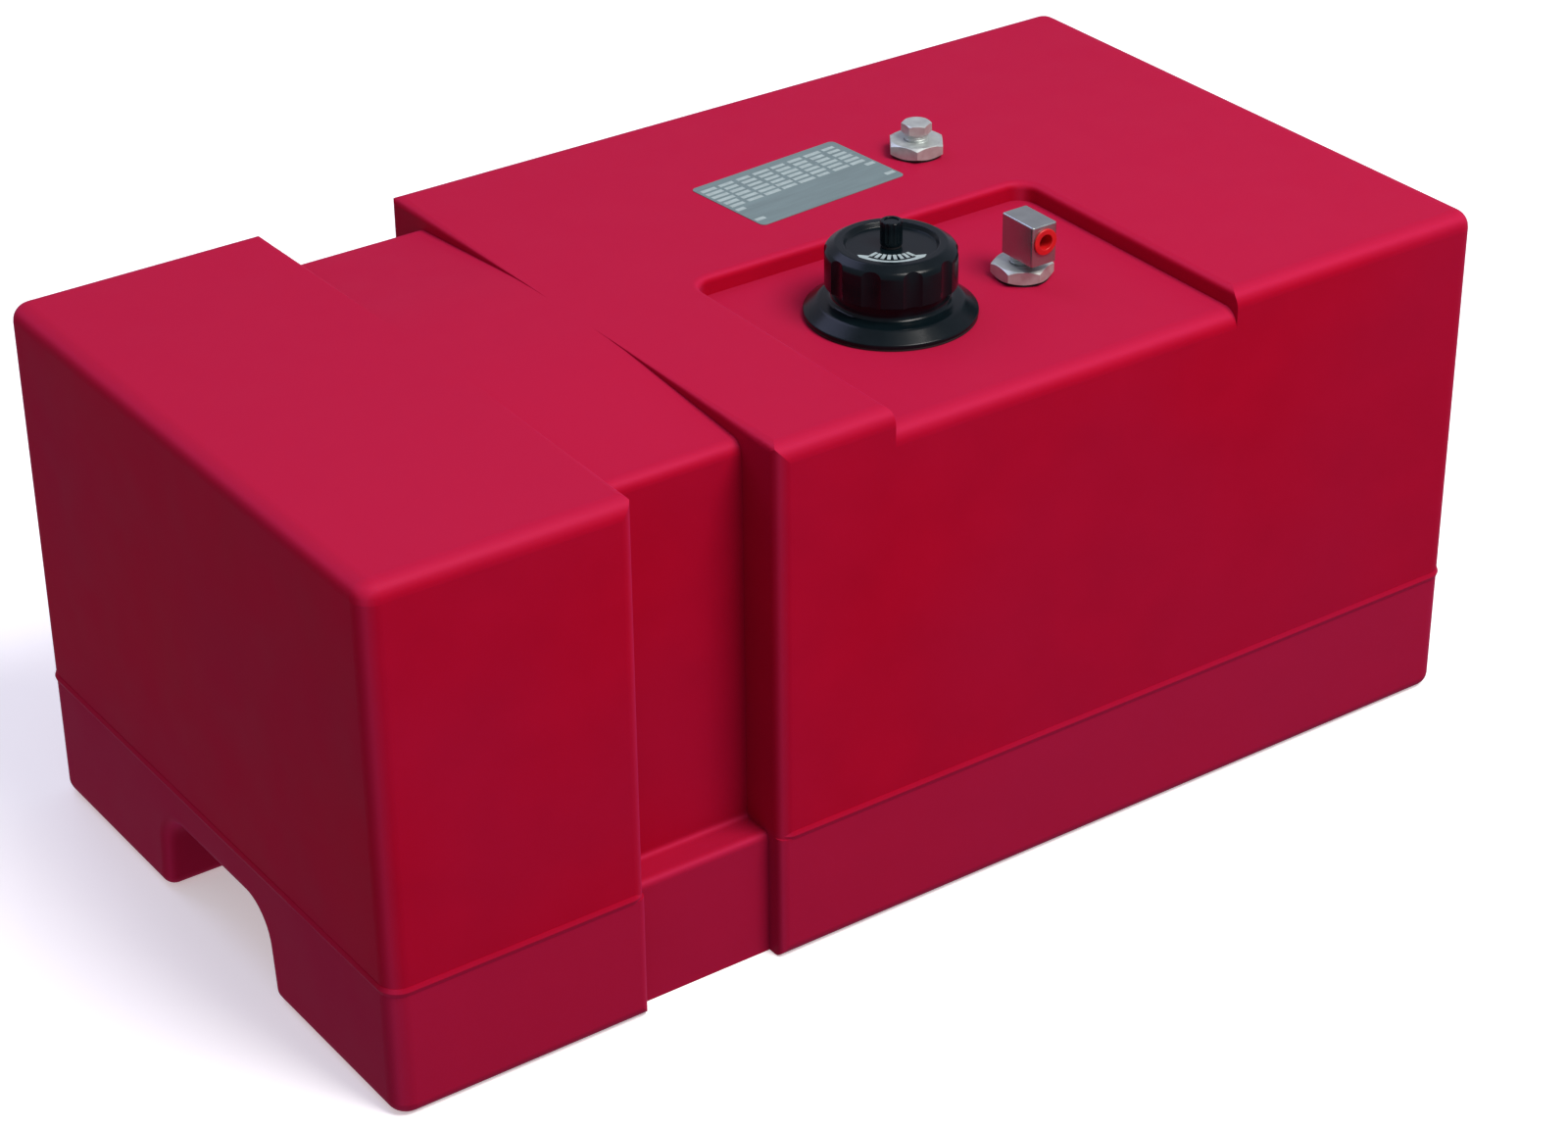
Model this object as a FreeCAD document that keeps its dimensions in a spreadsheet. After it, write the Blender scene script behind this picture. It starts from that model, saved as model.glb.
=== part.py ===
"""Permanent-mount outboard fuel tank with its filler, fuel pickup and spare port.

Millimetres, +Z up. The origin is the middle of the tank's footprint on the floor,
+X runs along the tank's length towards the filler end and +Y to the far long side.
"""

import FreeCAD, Part

import math
import os
import re

import Sketcher
from FreeCAD import Placement, Rotation, Vector

SIZES = {
    # moulded tank
    "tank_length": 832,
    "tank_width": 445,
    "tank_height": 360,
    "tank_wall": 6,
    "parting_height": 90,
    "corner_radius": 13,
    "top_radius": 12,
    "foot_radius": 9,
    "ridge_stand": 1.2,
    "ridge_rise": 3,
    "ridge_edge": 0.2,
    # waist for the hold-down strap
    "waist_x": -190,
    "waist_length": 98,
    "waist_inset": 37,
    "waist_corner": 9,
    "core_radius": 9,
    "band_inset": 14,
    "band_corner": 6,
    "ledge_height": 88,
    "ledge_radius": 4,
    "ledge_edge": 5,
    "ramp_flat": 106,
    "ramp_drop": 11,
    "ramp_blend": 700,
    "waist_rim": 6,
    # filler recess in the top
    "recess_x": 77,
    "recess_length": 266,
    "recess_back": 8,
    "recess_land": 1,
    "recess_corner": 14,
    "rim_radius": 5,
    # channel between the two feet
    "channel_mouth": 140,
    "channel_top": 128,
    "channel_height": 60,
    "channel_radius": 24,
    # openings in the moulding
    "moulded_gap": 0.4,
    "collar_radius": 44,
    "collar_depth": 20,
    "boss_radius": 22,
    "filler_x": 34.6,
    "filler_y": -96,
    "pickup_x": 133.8,
    "pickup_y": -102.7,
    "spare_x": 179.1,
    "spare_y": 68.6,
    "gasket_thick": 1.5,
    # filler neck
    "flange_radius": 55,
    "flange_lip": 2.5,
    "flange_rise": 9,
    "neck_radius": 36.6,
    "neck_bore": 31,
    "throat_height": 19,
    "throat_step": 1,
    "neck_height": 38.4,
    "spigot_radius": 35.8,
    "spigot_length": 22,
    # filler cap and vent
    "cap_seal": 2.5,
    "cap_gap": 1,
    "cap_radius": 42,
    "cap_skirt": 22,
    "cap_height": 40,
    "crown_thick": 5,
    "rim_outer": 33,
    "rim_rise": 3,
    "grip_hollow": 12,
    "grip_depth": 2.2,
    "grip_count": 10,
    "hub_radius": 9,
    "hub_drop": 6.5,
    "vent_hole": 3.2,
    "vent_lift": 4,
    "baffle_height": 21,
    "baffle_radius": 26,
    "knob_radius": 7,
    "knob_height": 16,
    "knob_hollow": 2,
    "knob_count": 12,
    "stem_radius": 2.9,
    # threaded ports
    "insert_radius": 16,
    "insert_bore": 13,
    "insert_length": 18,
    "bushing_flats": 35,
    "bushing_height": 9,
    "pickup_turn": 25,
    "spare_turn": 55,
    "tube_radius": 4.6,
    "tube_clear": 25,
    "tail_radius": 8,
    "tail_length": 12,
    "elbow_gap": 5.8,
    "elbow_width": 19.5,
    "elbow_reach": 21.5,
    "elbow_height": 27,
    "outlet_drop": 11.3,
    "entry_radius": 7.9,
    "entry_depth": 9.5,
    "outlet_radius": 7.4,
    "outlet_depth": 6,
    "way_radius": 4.5,
    "cover_depth": 9,
    "plug_hollow": 5,
    "screen_radius": 9,
    "screen_height": 28,
    "screen_below": 13,
    "plug_radius": 8,
    "plug_length": 12,
    "plug_neck": 5,
    "head_flats": 18,
    "head_height": 7,
    "head_turn": 25,
    # plate on the top
    "plate_x": 86.6,
    "plate_y": 75.6,
    "plate_turn": 4.7,
    "plate_length": 123,
    "plate_width": 75,
    "plate_corner": 4,
    "plate_thick": 0.4,
}

doc = FreeCAD.newDocument("fuel_tank")
sheet = doc.addObject("Spreadsheet::Sheet", "Sizes")
for row, (name, value) in enumerate(SIZES.items(), start=1):
    sheet.set(f"A{row}", name)
    sheet.set(f"B{row}", str(value))
    sheet.setAlias(f"B{row}", name)
doc.recompute()


def sized(text):
    """The text of an expression, with each size's name pointed at the sheet."""
    return re.sub(r"[a-z]\w*", lambda word: f"Sizes.{word[0]}" if word[0] in SIZES else word[0], text)


def value_of(text):
    """What an expression of sizes comes to now."""
    found = sheet.evalExpression(sized(text))
    return float(getattr(found, "Value", found))


def bind(thing, prop, text, unit="mm"):
    thing.setExpression(prop, sized(f"({text}) * 1 {unit}"))


def new_body(label):
    body = doc.addObject("PartDesign::Body", label)
    body.Label = label
    return body


def new_sketch(body, name, role, offset="0"):
    """A sketch on one of the body's own planes, moved along that plane's normal."""
    sketch = body.newObject("Sketcher::SketchObject", name)
    plane = next(f for f in body.Origin.OriginFeatures if f.Role == role)
    sketch.AttachmentSupport = [(plane, "")]
    sketch.MapMode = "FlatFace"
    bind(sketch, "AttachmentOffset.Base.z", offset)
    doc.recompute()
    return sketch


def pin(sketch, geometry, end, place):
    """Ties a point of the sketch to its place, given as a pair of expressions."""
    for kind, axis, text in (("DistanceX", -2, place[0]), ("DistanceY", -1, place[1])):
        now = value_of(text)
        if abs(now) < 1e-9:
            sketch.addConstraint(Sketcher.Constraint("PointOnObject", geometry, end, axis))
            continue
        ends = (-1, 1, geometry, end) if now > 0 else (geometry, end, -1, 1)
        index = sketch.addConstraint(Sketcher.Constraint(kind, *ends, abs(now)))
        bind(sketch, f"Constraints[{index}]", text if now > 0 else f"-({text})")


def corner_arc(before, corner, after, radius):
    """Where an arc of that radius leaves and meets the two lines at a corner, and its middle."""
    a = (before - corner).normalize()
    b = (after - corner).normalize()
    half = a.getAngle(b) / 2
    reach = radius / math.tan(half)
    centre = corner + (a + b).normalize() * (radius / math.sin(half))
    return corner + a * reach, centre, corner + b * reach


def outline(sketch, places):
    """A closed outline of lines. Each place is a corner (across, up), or (across, up, radius)
    where an arc rounds it, and every value is an expression."""
    corners = [Vector(value_of(p[0]), value_of(p[1]), 0) for p in places]
    count = len(corners)
    rounded = {i: value_of(p[2]) for i, p in enumerate(places) if len(p) == 3}
    arcs = {
        i: corner_arc(corners[i - 1], corners[i], corners[(i + 1) % count], radius)
        for i, radius in rounded.items()
    }
    first = sketch.GeometryCount
    for i in range(count):
        start = arcs[i][2] if i in arcs else corners[i]
        after = (i + 1) % count
        end = arcs[after][0] if after in arcs else corners[after]
        sketch.addGeometry(Part.LineSegment(start, end), False)
    for i in range(count):
        line, line_before = first + i, first + (i - 1) % count
        if i not in arcs:
            joined = ("Coincident", line_before, 2, line, 1)
            sketch.addConstraint(Sketcher.Constraint(*joined))
            pin(sketch, line, 1, places[i])
            continue
        point = sketch.addGeometry(Part.Point(corners[i]), True)
        pin(sketch, point, 1, places[i])
        for side in (line_before, line):
            sketch.addConstraint(Sketcher.Constraint("PointOnObject", point, 1, side))
        leave, centre, meet = arcs[i]
        turn = (leave - centre).cross(meet - centre).z
        ends = (leave, meet) if turn > 0 else (meet, leave)
        angles = [math.atan2(p.y - centre.y, p.x - centre.x) for p in ends]
        circle = Part.Circle(centre, Vector(0, 0, 1), rounded[i])
        arc = sketch.addGeometry(Part.ArcOfCircle(circle, *angles), False)
        first_end, last_end = (1, 2) if turn > 0 else (2, 1)
        sketch.addConstraint(Sketcher.Constraint("Tangent", line_before, 2, arc, first_end))
        sketch.addConstraint(Sketcher.Constraint("Tangent", line, 1, arc, last_end))
        index = sketch.addConstraint(Sketcher.Constraint("Radius", arc, rounded[i]))
        bind(sketch, f"Constraints[{index}]", places[i][2])
    doc.recompute()


def rectangle(half_x, half_y, radius):
    """The four rounded corners of a rectangle about the origin."""
    signs = ((-1, -1), (1, -1), (1, 1), (-1, 1))
    return [(f"{a} * ({half_x})", f"{b} * ({half_y})", radius) for a, b in signs]


def mirrored(places):
    """The same outline across the tank's middle plane, for a sketch whose second axis is Y."""
    return [(p[0], f"-({p[1]})", *p[2:]) for p in reversed(places)]


def pad(body, name, sketch, length, taper="0", down=False):
    feature = body.newObject("PartDesign::Pad", name)
    feature.Profile = sketch
    feature.Reversed = down
    bind(feature, "Length", length)
    bind(feature, "TaperAngle", taper, "deg")
    doc.recompute()
    return feature


def pocket(body, name, sketch, length, middle=False, up=False):
    feature = body.newObject("PartDesign::Pocket", name)
    feature.Profile = sketch
    feature.Midplane = middle
    feature.Reversed = up
    bind(feature, "Length", length)
    doc.recompute()
    return feature


def round_edges(body, name, radius, wanted):
    """A fillet on the body's edges for which wanted(edge, middle of the edge) is true."""
    base = body.Tip
    found = []
    for i, edge in enumerate(base.Shape.Edges, start=1):
        middle = edge.valueAt((edge.FirstParameter + edge.LastParameter) / 2)
        if wanted(edge, middle):
            found.append(f"Edge{i}")
    feature = body.newObject("PartDesign::Fillet", name)
    feature.Base = (base, found)
    bind(feature, "Radius", radius)
    doc.recompute()
    return feature


def near(a, b, slack=0.01):
    return abs(a - b) < slack


# the recess is deeper than the top edge's rounding, so that its floor has an edge of its own
recess_depth = "(top_radius + recess_land)"
recess_floor = f"tank_height - {recess_depth}"


def moulded_form(label, inset):
    """The tank's form with every face moved inwards by inset, so that two of them, one
    inside the other, leave a wall of even thickness."""
    body = new_body(label)
    half_length = f"tank_length / 2 - {inset}"
    half_width = f"tank_width / 2 - {inset}"
    top = f"tank_height - {inset}"
    outside = "tank_width / 2 + tank_wall * 3"

    block = new_sketch(body, "block_outline", "XY_Plane", inset)
    outline(block, rectangle(half_length, half_width, f"corner_radius - {inset}"))
    pad(body, "block", block, f"{top} - {inset}")

    mouth = f"channel_mouth / 2 + {inset}"
    arch = f"channel_top / 2 + {inset}"
    crown = f"channel_height + {inset}"
    channel = new_sketch(body, "channel_outline", "YZ_Plane")
    outline(channel, [(f"-({mouth})", "-tank_wall * 3"), (mouth, "-tank_wall * 3"), (mouth, "0"),
                      (arch, crown, f"channel_radius + {inset}"),
                      (f"-({arch})", crown, f"channel_radius + {inset}"), (f"-({mouth})", "0")])
    pocket(body, "foot_channel", channel, "tank_length + tank_wall * 6", middle=True)
    foot_z, end_x = value_of(inset), value_of(half_length)
    arch_y, crown_z = value_of(mouth), value_of(crown)
    round_edges(body, "foot_rounding", f"foot_radius - {inset}",
                lambda edge, m: near(m.z, foot_z) or
                (near(abs(m.x), end_x) and abs(m.y) < arch_y and m.z < crown_z + 1))

    left = f"recess_x - recess_length / 2 - {inset}"
    right = f"recess_x + recess_length / 2 + {inset}"
    back = f"{inset} - recess_back"
    recess = new_sketch(body, "recess_outline", "XY_Plane", top)
    outline(recess, [(left, f"-({outside})"), (right, f"-({outside})"),
                     (right, back, f"recess_corner + {inset}"),
                     (left, back, f"recess_corner + {inset}")])
    pocket(body, "filler_recess", recess, recess_depth)
    top_z, floor_z = value_of(top), value_of(f"{top} - {recess_depth}")
    side_y = value_of(half_width)
    round_edges(body, "top_rounding", f"top_radius - {inset}",
                lambda edge, m: near(m.z, top_z) and
                (abs(m.y) > side_y - 5 or abs(m.x) > end_x - 5))
    round_edges(body, "recess_lip", f"top_radius - {inset}",
                lambda edge, m: near(m.z, floor_z) and m.y < 1 - side_y)

    waist_left = f"waist_x - waist_length / 2 - {inset}"
    waist_right = f"waist_x + waist_length / 2 + {inset}"
    flare = "waist_length / 4"

    def notch(name, depth, corner, floor, height):
        """Both sides' cut, from floor upwards, with its mouth rounded into the tank's side."""
        deep = f"-(tank_width / 2 - {depth} - {inset})"
        plan = [
            (f"{waist_left} - {flare}", f"-({half_width})"),
            (waist_left, f"-({half_width})", f"{corner} - {inset} / 2"),
            (waist_left, deep),
            (waist_right, deep),
            (waist_right, f"-({half_width})", f"{corner} - {inset} / 2"),
            (f"{waist_right} + {flare}", f"-({half_width})"),
            (f"{waist_right} + {flare}", f"-({outside})"),
            (f"{waist_left} - {flare}", f"-({outside})"),
        ]
        sketch = new_sketch(body, f"{name}_outline", "XY_Plane", floor)
        outline(sketch, plan)
        outline(sketch, mirrored(plan))
        pocket(body, name, sketch, height, up=True)

    notch("waist_notch", "waist_inset", "waist_corner", f"ledge_height - {inset}", "tank_height")
    notch("band_notch", "band_inset", "band_corner", "-tank_wall", "ledge_height + tank_wall * 2")

    high = f"{top} + tank_wall * 3"
    fall = "ramp_drop / (tank_width / 2 - waist_inset - ramp_flat / 2)"
    start = f"ramp_flat / 2 - ramp_blend * {fall}"
    wedge = [(start, top),
             ("ramp_flat / 2", top, f"ramp_blend - {inset}"),
             (outside, f"{top} - ({outside} - ramp_flat / 2) * {fall}"),
             (outside, high),
             (start, high)]
    ramp = new_sketch(body, "ramp_outline", "YZ_Plane", "waist_x")
    outline(ramp, wedge)
    outline(ramp, [(f"-({p[0]})", *p[1:]) for p in reversed(wedge)])
    pocket(body, "strap_ramps", ramp, f"waist_length + 2 * {inset}", middle=True)
    return body


def rim_profile(body, name, wall, radius, away, offset):
    """The section of what rounding takes off the top of a wall whose solid side is away (1 or
    -1) along X, on a plane across the tank at that offset towards the near side."""
    reach, clear = f"{radius} * 1.3", "tank_wall / 2"
    places = [("0", f"-({reach})"), ("0", "0", radius), (reach, "0"), (reach, clear),
              (f"-{clear}", clear), (f"-{clear}", f"-({reach})")]
    sketch = new_sketch(body, name, "XZ_Plane", offset)
    section = [(f"{wall} + {away} * ({p[0]})", f"tank_height + {p[1]}", *p[2:]) for p in places]
    outline(sketch, section)
    return sketch


def recess_rim(body):
    """Rounds the recess's rim by sweeping the rounded corner along the recess's three sides."""
    outside = "tank_width / 2 + tank_wall * 3"
    sweep = body.newObject("PartDesign::SubtractivePipe", "recess_rim")
    sweep.Profile = rim_profile(body, "rim_profile", "recess_x + recess_length / 2",
                                "rim_radius", 1, outside)
    sweep.Spine = (doc.getObject("recess_outline"), ["Edge2", "Edge5", "Edge3", "Edge6", "Edge4"])
    doc.recompute()


def waist_rims(body):
    """Rounds the top of the waist's walls, from nothing where the ramps begin."""
    plane = next(f for f in body.Origin.OriginFeatures if f.Role == "XZ_Plane")
    for side, away in (("left", -1), ("right", 1)):
        wall = f"waist_x + {away} * waist_length / 2"
        start = rim_profile(body, f"{side}_rim_start", wall, "waist_rim / 20", away,
                            "ramp_flat / 2")
        end = rim_profile(body, f"{side}_rim_end", wall, "waist_rim", away,
                          "tank_width / 2 + tank_wall")
        loft = body.newObject("PartDesign::SubtractiveLoft", f"{side}_waist_rim")
        loft.Profile = start
        loft.Sections = [end]
        loft.Ruled = True
        doc.recompute()
        mirror = body.newObject("PartDesign::Mirrored", f"{side}_waist_rim_far")
        mirror.Originals = [loft]
        mirror.MirrorPlane = (plane, [""])
        body.Tip = mirror
        doc.recompute()


def soften(body):
    """The roundings that only the outside of the tank carries."""
    core_y = value_of("tank_width / 2 - waist_inset")
    waist_x, half_waist = value_of("waist_x"), value_of("waist_length / 2")
    band_y = value_of("tank_width / 2 - band_inset")
    ledge_z, middle_z = value_of("ledge_height"), value_of("(ledge_height + tank_height) / 2")

    def at_core(m):
        return near(abs(m.y), core_y) and abs(m.x - waist_x) < half_waist - 1

    def on_ledge_edge(edge, m):
        return (near(abs(m.y), band_y) and near(m.z, ledge_z)
                and abs(m.x - waist_x) < half_waist - 1)

    round_edges(body, "core_top", "core_radius",
                lambda edge, m: at_core(m) and m.z > middle_z)
    round_edges(body, "ledge_root", "ledge_radius",
                lambda edge, m: at_core(m) and near(m.z, ledge_z))
    round_edges(body, "ledge_edge", "ledge_edge", on_ledge_edge)


def parting_ridge(body):
    """The ridge that the mould's joint leaves round the tank, fading out at the waist."""
    side = "tank_width / 2 + ridge_stand"
    end = "tank_length / 2 + ridge_stand"
    corner = "corner_radius + ridge_stand"
    left = "waist_x - waist_length / 2 - ridge_stand"
    right = "waist_x + waist_length / 2 + ridge_stand"
    deep = "tank_width / 2 - waist_inset - tank_wall"
    near_side = [(f"-({end})", f"-({side})", corner),
                 (left, f"-({side})", "waist_corner"), (left, f"-({deep})"),
                 (right, f"-({deep})"), (right, f"-({side})", "waist_corner"),
                 (end, f"-({side})", corner)]
    slope = "-atan((ridge_stand - ridge_edge) / ridge_rise) / 1 deg"
    for name, down in (("ridge_above", False), ("ridge_below", True)):
        sketch = new_sketch(body, f"{name}_outline", "XY_Plane", "parting_height")
        outline(sketch, near_side + mirrored(near_side))
        pad(body, name, sketch, "ridge_rise", slope, down)


def placed(thing, x, y, z, turn="0", axis=Vector(0, 0, 1)):
    """Puts a sub-part in its place on the tank; every value is an expression."""
    thing.Placement = Placement(Vector(), Rotation(axis, 1))
    for axis, text in zip("xyz", (x, y, z)):
        bind(thing, f"Placement.Base.{axis}", text)
    bind(thing, "Placement.Rotation.Angle", turn, "deg")


def turned(body, name, places, cut=False):
    """A feature revolved about the body's own upright axis from an outline of (radius, height)."""
    sketch = new_sketch(body, f"{name}_outline", "XZ_Plane")
    outline(sketch, places)
    feature = body.newObject("PartDesign::Groove" if cut else "PartDesign::Revolution", name)
    feature.Profile = sketch
    feature.ReferenceAxis = (sketch, ["V_Axis"])
    feature.Angle = 360
    doc.recompute()
    return feature


def tube(inner, outer_radius, low, high, bevel="0.4"):
    """The (radius, height) outline of a plain ring, its outer corners slightly rounded."""
    return [(inner, low), (outer_radius, low, bevel), (outer_radius, high, bevel), (inner, high)]


def around(body, feature, count):
    """Repeats a feature round the body's upright axis."""
    pattern = body.newObject("PartDesign::PolarPattern", f"{feature.Name}_round")
    pattern.Originals = [feature]
    pattern.Axis = (next(f for f in body.Origin.OriginFeatures if f.Role == "Z_Axis"), [""])
    pattern.Angle = 360
    pattern.setExpression("Occurrences", sized(count))
    body.Tip = pattern
    doc.recompute()
    return pattern


def circle(sketch, across, up, radius):
    """A full circle in the sketch, its centre and radius given as expressions."""
    centre = Vector(value_of(across), value_of(up), 0)
    index = sketch.addGeometry(Part.Circle(centre, Vector(0, 0, 1), value_of(radius)), False)
    pin(sketch, index, 3, (across, up))
    tie = sketch.addConstraint(Sketcher.Constraint("Radius", index, value_of(radius)))
    bind(sketch, f"Constraints[{tie}]", radius)


def scallops(body, name, radius, reach, low, height, count):
    """Upright hollows cut round the outside of a turned grip."""
    sketch = new_sketch(body, f"{name}_outline", "XY_Plane", low)
    circle(sketch, reach, "0", radius)
    cut = pocket(body, name, sketch, height, up=True)
    return around(body, cut, count)


def hexagon(across_flats):
    """The corners of a hexagon with two of its sides along X."""
    half = f"({across_flats}) / 2"
    corner = f"({across_flats}) / 1.7320508"
    return [(corner, "0"), (f"{corner} / 2", half), (f"-{corner} / 2", half),
            (f"-{corner}", "0"), (f"-{corner} / 2", f"-{half}"), (f"{corner} / 2", f"-{half}")]


def hex_block(body, name, across_flats, low, height):
    """A hexagon for a spanner, its corners chamfered above and below."""
    sketch = new_sketch(body, f"{name}_outline", "XY_Plane", low)
    outline(sketch, hexagon(across_flats))
    block = pad(body, name, sketch, height)
    corner = f"({across_flats}) / 1.7320508"
    flat = f"({across_flats}) / 2"
    for end, face, away in (("low", low, "1"), ("high", f"{low} + {height}", "-1")):
        slope = f"{away} * ({corner} - {flat})"
        turned(body, f"{name}_{end}_chamfer",
               [(f"{flat} - 0.3", face), (f"{corner} + 1", face),
                (f"{corner} + 1", f"{face} + {slope} * 0.9")], cut=True)
    return block


# the tank: one moulding with an even wall, a collar under the filler and a boss round each
# threaded insert
outer = moulded_form("outer_form", "0")
recess_rim(outer)
soften(outer)
waist_rims(outer)
parting_ridge(outer)
cavity = moulded_form("cavity_form", "tank_wall")

seats = {
    "filler": ("filler_x", "filler_y", recess_floor),
    "pickup": ("pickup_x", "pickup_y", recess_floor),
    "spare": ("spare_x", "spare_y", "tank_height"),
}
bores = {"filler": "spigot_radius + moulded_gap", "pickup": "insert_radius + moulded_gap",
         "spare": "insert_radius + moulded_gap"}
bosses = {"filler": "collar_radius", "pickup": "boss_radius", "spare": "boss_radius"}
depths = {"filler": "collar_depth", "pickup": "insert_length", "spare": "insert_length"}


def cylinder(name, radius, height, x, y, z):
    solid = doc.addObject("Part::Cylinder", name)
    bind(solid, "Radius", radius)
    bind(solid, "Height", height)
    placed(solid, x, y, z)
    return solid


def combined(kind, name, base, tool):
    result = doc.addObject(f"Part::{kind}", name)
    result.Base = base
    result.Tool = tool
    doc.recompute()
    return result


inside = cavity
for seat, (x, y, z) in seats.items():
    boss = cylinder(f"{seat}_boss", bosses[seat], depths[seat], x, y, f"{z} - {depths[seat]}")
    inside = combined("Cut", f"inside_less_{seat}_boss", inside, boss)
tank = combined("Cut", "hollow_tank", outer, inside)
for seat, (x, y, z) in seats.items():
    bore = cylinder(f"{seat}_bore", bores[seat], f"{depths[seat]} + tank_wall * 2", x, y,
                    f"{z} - {depths[seat]} - tank_wall")
    tank = combined("Cut", f"tank_with_{seat}_bore", tank, bore)
tank.Label = "tank_shell"

# filler: neck, cap and vent, all turned about one upright axis from the recess's floor
cap_top = "neck_height + cap_seal + crown_thick"


def filler_piece(label):
    body = new_body(label)
    placed(body, "filler_x", "filler_y", recess_floor)
    return body


neck_gasket = filler_piece("neck_gasket")
turned(neck_gasket, "ring", tube("spigot_radius + 0.4", "flange_radius - 0.3", "0", "gasket_thick"))

filler_neck = filler_piece("filler_neck")
turned(filler_neck, "neck", [
    ("neck_bore", "-spigot_length", "0.8"),
    ("spigot_radius", "-spigot_length", "0.8"),
    ("spigot_radius", "gasket_thick"),
    ("flange_radius", "gasket_thick", "0.6"),
    ("flange_radius", "gasket_thick + flange_lip", "1.2"),
    ("neck_radius + flange_rise", "gasket_thick + flange_rise", "6"),
    ("neck_radius", "gasket_thick + flange_rise + 1", "3.5"),
    ("neck_radius", "neck_height", "0.8"),
    ("neck_bore + throat_step", "neck_height", "0.8"),
    ("neck_bore + throat_step", "throat_height"),
    ("neck_bore", "throat_height"),
])

cap_gasket = filler_piece("cap_gasket")
turned(cap_gasket, "ring", tube("neck_bore + 1.2", "neck_radius + 0.2", "neck_height",
                                "neck_height + cap_seal"))

cap_shell = filler_piece("cap_shell")
turned(cap_shell, "shell", [
    ("neck_radius + cap_gap", "cap_skirt"),
    ("cap_radius", "cap_skirt", "0.8"),
    ("cap_radius", f"{cap_top} - 1.4", "5"),
    ("rim_outer + 2", f"{cap_top} + rim_rise", "3"),
    ("rim_outer - 3", f"{cap_top} + rim_rise", "1"),
    ("rim_outer - 5", cap_top, "0.8"),
    ("vent_hole", cap_top),
    ("vent_hole", "neck_height + cap_seal - hub_drop"),
    ("hub_radius", "neck_height + cap_seal - hub_drop", "0.8"),
    ("hub_radius", "neck_height + cap_seal"),
    ("neck_radius + cap_gap", "neck_height + cap_seal"),
])
scallops(cap_shell, "grip_hollows", "grip_hollow", "cap_radius + grip_hollow - grip_depth",
         "cap_skirt", "cap_height", "grip_count")

cap_baffle = filler_piece("cap_baffle")
hub = "hub_radius + 0.3"
turned(cap_baffle, "hub", tube(hub, f"{hub} + 2.2", "neck_height + cap_seal - hub_drop",
                               "neck_height + cap_seal"))
legs = new_sketch(cap_baffle, "leg_outline", "XY_Plane", "baffle_height + 1")
outline(legs, [(hub, "-2.5"), (f"{hub} + 2.2", "-2.5"), (f"{hub} + 2.2", "2.5"), (hub, "2.5")])
leg = pad(cap_baffle, "leg", legs, "neck_height + cap_seal - 2 - baffle_height")
around(cap_baffle, leg, "3")
turned(cap_baffle, "disc", [("0", "baffle_height"), ("baffle_radius", "baffle_height", "0.5"),
                            ("baffle_radius", "baffle_height + 2", "0.5"),
                            ("0", "baffle_height + 2")])

vent_washer = filler_piece("vent_washer")
turned(vent_washer, "ring", tube("vent_hole + 0.1", "knob_radius - 0.5", cap_top,
                                 f"{cap_top} + gasket_thick"))

vent_screw = filler_piece("vent_screw")
knob_foot = f"{cap_top} + gasket_thick"
clip_height = "neck_height + cap_seal - hub_drop - vent_lift"
turned(vent_screw, "screw", [
    ("0", f"{clip_height} - 2.5"),
    ("stem_radius", f"{clip_height} - 2.5", "0.4"),
    ("stem_radius", f"{clip_height} - 1"),
    ("stem_radius - 0.5", f"{clip_height} - 1"),
    ("stem_radius - 0.5", clip_height),
    ("stem_radius", clip_height),
    ("stem_radius", knob_foot),
    ("knob_radius", knob_foot, "0.6"),
    ("knob_radius", f"{knob_foot} + knob_height", "1"),
    ("knob_radius - 2.5", f"{knob_foot} + knob_height", "0.4"),
    ("knob_radius - 2.5", f"{knob_foot} + knob_height - 0.8"),
    ("0", f"{knob_foot} + knob_height - 0.8"),
])
scallops(vent_screw, "knob_hollows", "knob_hollow", "knob_radius + knob_hollow - 0.5",
         f"{knob_foot} + 2.5", "knob_height", "knob_count")

vent_clip = filler_piece("vent_clip")
turned(vent_clip, "ring", tube("stem_radius - 0.4", "stem_radius + 2.5",
                               f"{clip_height} - 1", clip_height, "0.2"))


# threaded fittings: the same insert, gasket and hexagon bushing serve both ports
def port_piece(label, seat, turn="0"):
    body = new_body(label)
    placed(body, *seats[seat], turn)
    return body


def insert(seat):
    body = port_piece(f"{seat}_insert", seat)
    turned(body, "sleeve", [
        ("insert_bore", "-insert_length - 2", "0.5"),
        ("insert_radius + 3", "-insert_length - 2", "0.5"),
        ("insert_radius + 3", "-insert_length"),
        ("insert_radius", "-insert_length"),
        ("insert_radius", "0"),
        ("insert_bore", "0", "0.6"),
    ])
    return body


def gasket(seat):
    body = port_piece(f"{seat}_gasket", seat)
    turned(body, "ring", tube("insert_bore + 0.2", "bushing_flats / 2 - 0.3", "0",
                              "gasket_thick"))
    return body


def bushing(seat, tapped_radius, tapped_depth, turn):
    body = port_piece(f"{seat}_bushing", seat, turn)
    hex_block(body, "hexagon", "bushing_flats", "gasket_thick", "bushing_height")
    turned(body, "spigot", [("0", "gasket_thick + 1"), ("0", "-insert_length - 1"),
                            ("insert_bore - 0.3", "-insert_length - 1", "1"),
                            ("insert_bore - 0.3", "gasket_thick + 1")])
    face = "gasket_thick + bushing_height"
    turned(body, "bore", [("0", f"{face} + 1"), ("0", "-insert_length - 2"),
                          ("tube_radius + 0.3", "-insert_length - 2"),
                          ("tube_radius + 0.3", f"{face} - ({tapped_depth})"),
                          (tapped_radius, f"{face} - ({tapped_depth})"),
                          (tapped_radius, f"{face} + 1")], cut=True)
    return body


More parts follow.
